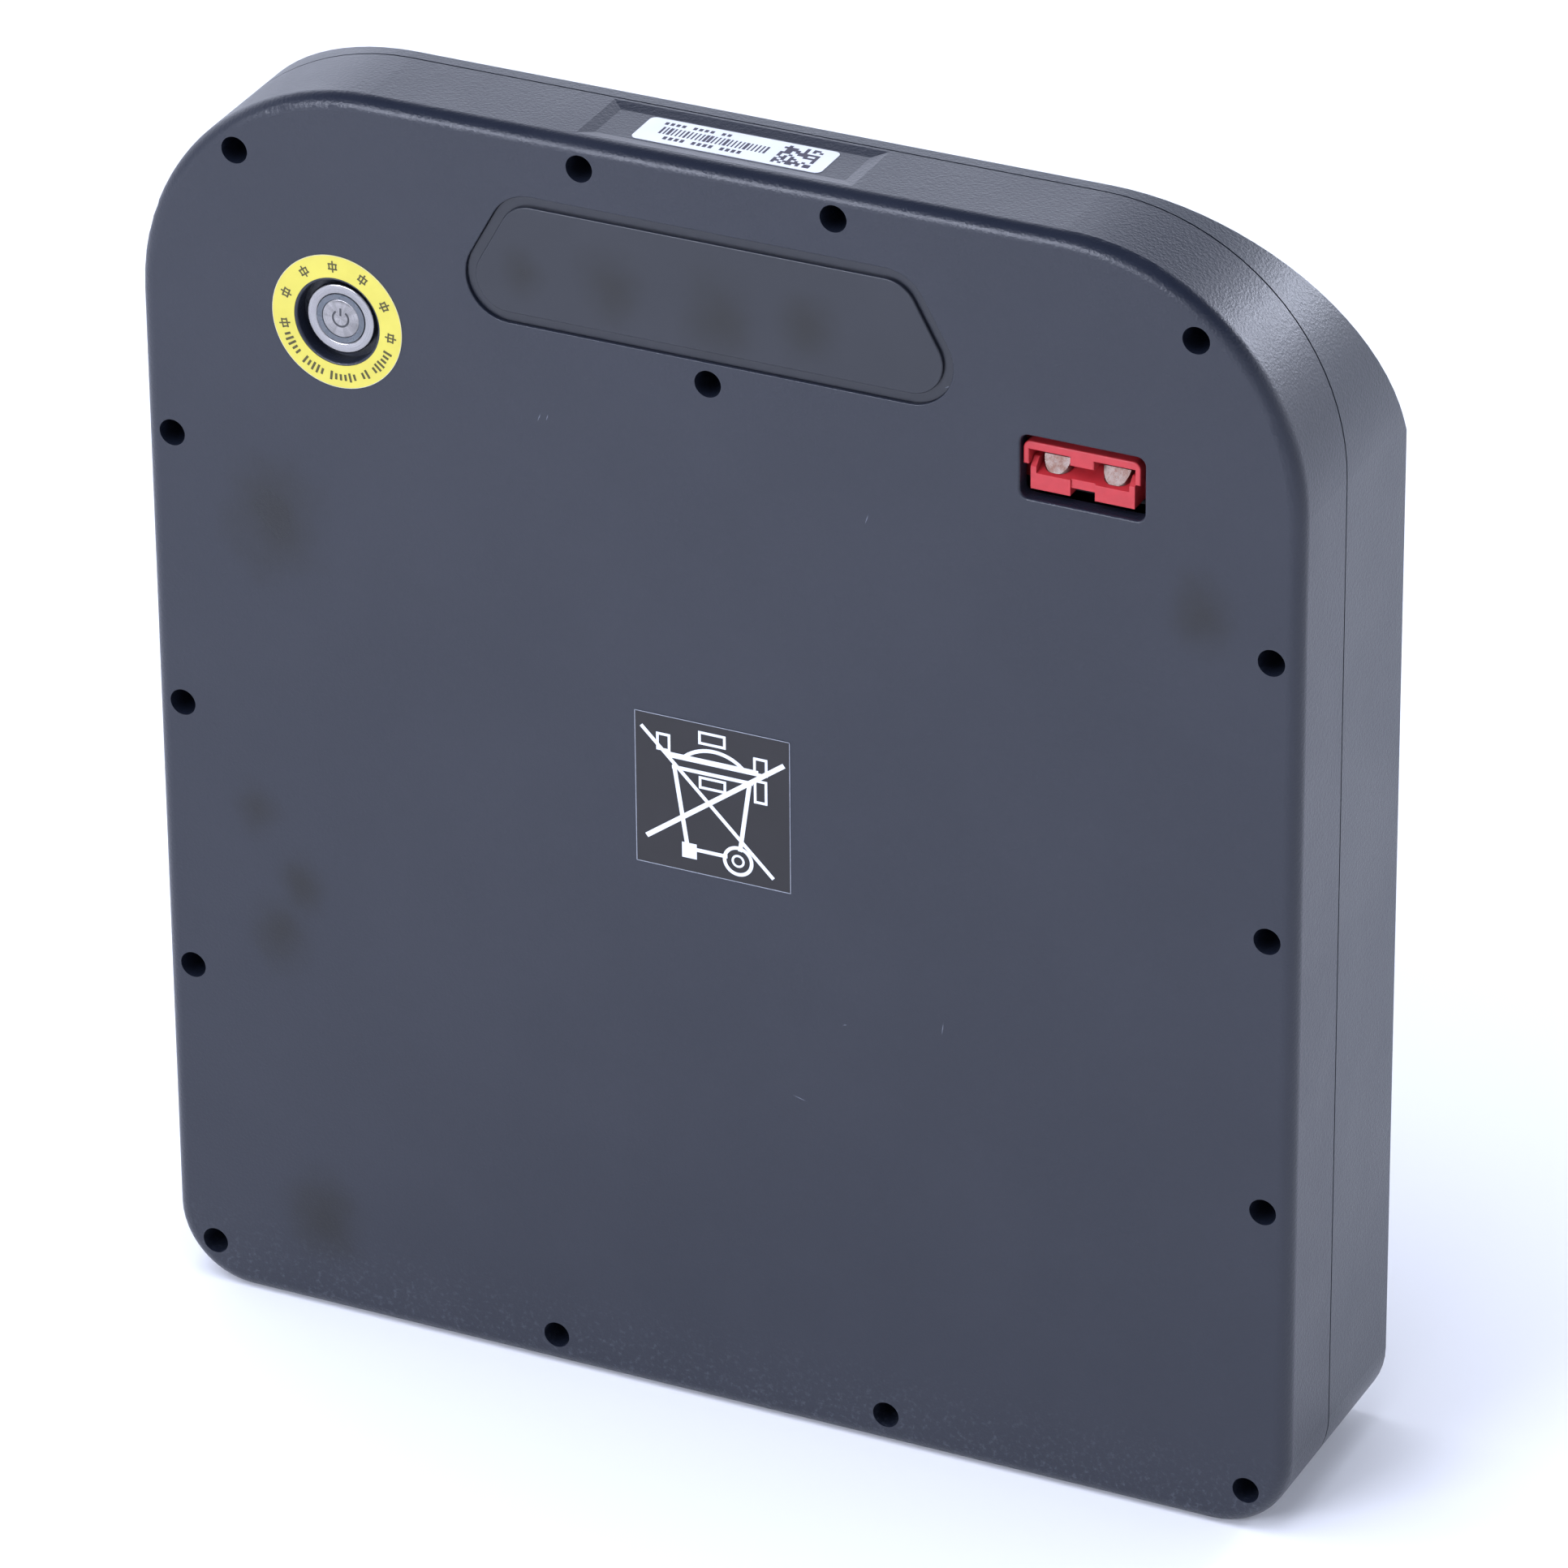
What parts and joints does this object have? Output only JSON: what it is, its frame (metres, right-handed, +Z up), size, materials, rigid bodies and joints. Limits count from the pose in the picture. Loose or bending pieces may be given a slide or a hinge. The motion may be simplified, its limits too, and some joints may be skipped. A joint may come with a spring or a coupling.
{
  "type": "portable battery pack",
  "caption": "flat lithium battery pack in a two-shell moulded case with a recessed start button, a flat-contact power connector and a blanked hand grip",
  "frame": {"origin": "middle of the footprint, on the surface that the case stands on", "axes": "+X to the right seen from the front, +Y from the front face to the back, +Z up"},
  "size_m": [0.368, 0.0762, 0.409],
  "materials": {
    "case_plastic": "moulded dark blue-grey, fine sand texture",
    "blank_plastic": "moulded dark blue-grey, satin",
    "black_rubber": "matt black",
    "dark_screw_steel": "black oxide",
    "zinc_steel": "zinc plated",
    "disposal_film": "dark film with white line print",
    "data_paper": "white film with dark print",
    "ring_print": "yellow film",
    "bezel_steel": "polished stainless",
    "cap_steel": "circular brushed stainless",
    "light_ring_lens": "translucent grey",
    "black_plastic": "moulded black",
    "red_plastic": "moulded red",
    "silvered_copper": "silver plated copper, worn",
    "cell_sleeve": "blue shrink sleeve",
    "holder_plastic": "moulded black",
    "nickel_strip": "nickel strip",
    "insulator_board": "fibre glass sheet",
    "foam": "closed-cell foam",
    "board_laminate": "green solder mask",
    "heatsink_alloy": "extruded",
    "white_plastic": "moulded white",
    "red_sleeve": "silicone sleeve",
    "black_sleeve": "silicone sleeve"
  },
  "bodies": {
    "case": {"front_cover": "case_plastic", "rear_shell": "case_plastic", "grip_blank": "blank_plastic", "case_gasket": "black_rubber", "grip_blank_seal": "black_rubber", "button_gasket": "black_rubber", "case_screws": "dark_screw_steel", "bracket_screws": "zinc_steel", "bms_screws": "zinc_steel", "fuse_bolts": "zinc_steel", "connector_contact_springs": "zinc_steel", "button_spring": "zinc_steel", "button_washer": "zinc_steel", "button_nut": "zinc_steel", "disposal_sticker": "disposal_film", "data_label": "data_paper", "ring_label": "ring_print", "button_body": "bezel_steel", "button_contact_block": "black_plastic", "connector_bracket": "black_plastic", "fuse_holder": "black_plastic", "holder_spacers": "black_plastic", "connector_housing": "red_plastic", "connector_contacts": "silvered_copper", "button_terminals": "silvered_copper", "cells": "cell_sleeve", "front_cell_holder": "holder_plastic", "rear_cell_holder": "holder_plastic", "front_bus_strips": "nickel_strip", "rear_bus_strips": "nickel_strip", "front_insulator": "insulator_board", "rear_insulator": "insulator_board", "rear_pads": "foam", "side_pads": "foam", "base_pads": "foam", "bms_board": "board_laminate", "bms_transistors": "board_laminate", "bms_capacitors": "board_laminate", "bms_heatsink": "heatsink_alloy", "balance_socket": "white_plastic", "fuse": "white_plastic", "positive_pack_lead": "red_sleeve", "positive_output_lead": "red_sleeve", "negative_pack_lead": "black_sleeve", "negative_output_lead": "black_sleeve", "button_leads": "black_sleeve", "balance_harness": "black_sleeve", "temperature_sensor": "black_sleeve"},
    "start_button": {"button_cap": "cap_steel", "button_light_ring": "light_ring_lens"}
  },
  "joints": [
    {"name": "button_press", "type": "slide", "parent": "case", "child": "start_button", "axis": [0, 1, 0], "range_m": [0, 0.0015], "stiffness_N_per_m": 800, "springref_m": -0.0012, "deforming": ["button_spring"]}
  ]
}
